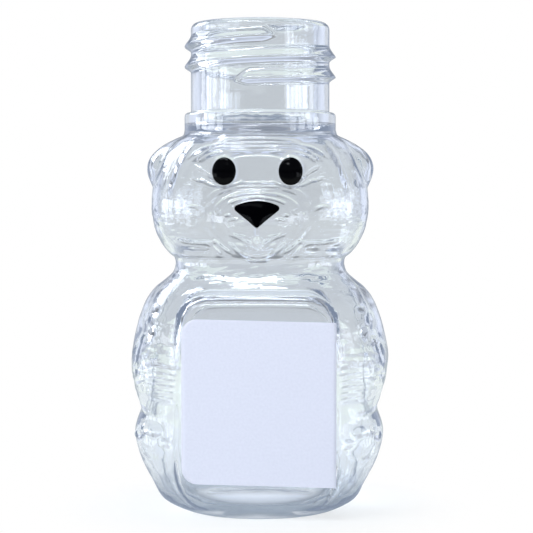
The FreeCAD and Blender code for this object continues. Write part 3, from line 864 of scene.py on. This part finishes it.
def make_world():
    """Grey room that shows in the plastic, and plain white to the camera.

    From front to back it goes from dark to a bright ring round a grey middle. A dark band lies above
    eye level.
    """
    world = bpy.data.worlds.new("studio")
    bpy.context.scene.world = world
    world.use_nodes = True
    nodes, links = world.node_tree.nodes, world.node_tree.links
    nodes.clear()
    output = nodes.new("ShaderNodeOutputWorld")
    room = nodes.new("ShaderNodeBackground")
    white = nodes.new("ShaderNodeBackground")
    white.inputs["Color"].default_value = (1, 1, 1, 1)
    white.inputs["Strength"].default_value = 1.0
    coordinates = nodes.new("ShaderNodeTexCoord")
    split = nodes.new("ShaderNodeSeparateXYZ")
    tone = nodes.new("ShaderNodeValToRGB")
    fill_ramp(tone.color_ramp, (
        (0.0, (0.28, 0.30, 0.33)),
        (0.35, (0.34, 0.37, 0.41)),
        (0.50, (0.56, 0.60, 0.68)),
        (0.78, (0.62, 0.67, 0.76)),
        (0.88, (0.98, 1.06, 1.24)),
        (0.957, (0.95, 1.02, 1.18)),
        (0.978, (0.74, 0.77, 0.81)),
        (1.0, (0.78, 0.81, 0.83)),
    ))
    level = nodes.new("ShaderNodeValToRGB")
    fill_ramp(level.color_ramp, (
        (0.40, (1.0, 1.0, 1.0)),
        (0.47, (0.84, 0.84, 0.85)),
        (0.575, (0.84, 0.84, 0.85)),
        (0.62, (0.32, 0.33, 0.35)),
        (0.665, (0.32, 0.33, 0.35)),
        (0.70, (0.84, 0.84, 0.85)),
        (0.76, (0.84, 0.84, 0.85)),
        (0.84, (0.60, 0.60, 0.61)),
    ))
    place = nodes.new("ShaderNodeMapRange")
    place.inputs["From Min"].default_value = -1
    place.inputs["From Max"].default_value = 1
    height = nodes.new("ShaderNodeMapRange")
    height.inputs["From Min"].default_value = -1
    height.inputs["From Max"].default_value = 1
    path = nodes.new("ShaderNodeLightPath")
    mix = nodes.new("ShaderNodeMixShader")
    links.new(split.outputs["Z"], height.inputs["Value"])
    links.new(height.outputs["Result"], level.inputs["Fac"])
    links.new(level.outputs["Color"], room.inputs["Strength"])
    links.new(coordinates.outputs["Generated"], split.inputs["Vector"])
    links.new(split.outputs["Y"], place.inputs["Value"])
    links.new(place.outputs["Result"], tone.inputs["Fac"])
    links.new(tone.outputs["Color"], room.inputs["Color"])
    links.new(path.outputs["Is Camera Ray"], mix.inputs["Fac"])
    links.new(room.outputs["Background"], mix.inputs[1])
    links.new(white.outputs["Background"], mix.inputs[2])
    links.new(mix.outputs["Shader"], output.inputs["Surface"])


def softbox(name, azimuth, distance, height, width, tall, power):
    """Soft rectangular lamp, turned to the bottle; azimuth in degrees from the front, to the right."""
    lamp = bpy.data.lights.new(name, "AREA")
    lamp.shape = "RECTANGLE"
    lamp.size, lamp.size_y = width, tall
    lamp.energy = power
    lamp.color = (0.88, 0.93, 1.0)
    turn = math.radians(azimuth)
    at = Vector((distance * math.sin(turn), -distance * math.cos(turn), height))
    holder = bpy.data.objects.new(name, lamp)
    holder.location = at
    holder.rotation_euler = (Vector((0, 0, LAMP_AIM)) - at).to_track_quat("-Z", "Y").to_euler()
    bpy.context.collection.objects.link(holder)


def make_camera():
    """Camera at the photograph's angle: a little to the right, level with the head and looking down."""
    camera = bpy.data.cameras.new("camera")
    camera.sensor_width = SENSOR_WIDTH
    camera.lens = SENSOR_WIDTH * FOCAL_PIXELS / IMAGE_PIXELS
    camera.clip_start = 0.01
    side = CAMERA_DISTANCE * MM * math.sin(CAMERA_TURN)
    back = CAMERA_DISTANCE * MM * math.cos(CAMERA_TURN)
    pitch = math.atan((IMAGE_PIXELS / 2 - HORIZON_ROW) / FOCAL_PIXELS)
    pan = math.atan(AXIS_SHIFT / FOCAL_PIXELS)
    holder = bpy.data.objects.new("camera", camera)
    holder.location = (side, -back, CAMERA_HEIGHT * MM)
    holder.rotation_euler = (math.pi / 2 - pitch, 0, CAMERA_TURN - pan)
    bpy.context.collection.objects.link(holder)
    bpy.context.scene.camera = holder


make_camera()
shell = make_shell()
shell.data.materials.append(clear_plastic())
left_eye = make_ink("left_eye_ink", eye_outline(EYE_X), (EYE_X, EYE_Z), "left_eye")
right_eye = make_ink("right_eye_ink", eye_outline(-EYE_X), (-EYE_X, EYE_Z), "right_eye")
nose = make_ink("nose_ink", nose_outline(), (0.0, NOSE_MIDDLE), "nose")
eye_ink = black_ink("eye_ink", 0.09)
left_eye.data.materials.append(eye_ink)
right_eye.data.materials.append(eye_ink)
nose.data.materials.append(black_ink("nose_ink", 0.005))
label = make_label()
label.data.materials.append(label_paper())

make_floor()
make_world()
for azimuth in (-61, -76, -91, -106):
    softbox(f"left_pane_{-azimuth}", azimuth, 0.60, 0.04, 0.115, 0.16, 0.22)
for azimuth in (67, 81, 95):
    softbox(f"right_pane_{azimuth}", azimuth, 0.60, 0.04, 0.10, 0.16, 0.18)
softbox("left_high", -125, 0.50, 0.32, 0.28, 0.25, 0.9)
softbox("right_front", 52, 0.60, 0.07, 0.12, 0.20, 0.22)
softbox("high_strip", -30, 0.33, 0.50, 0.50, 0.11, 2.65)

bpy.context.scene.view_settings.view_transform = "Standard"

bpy.context.view_layer.update()
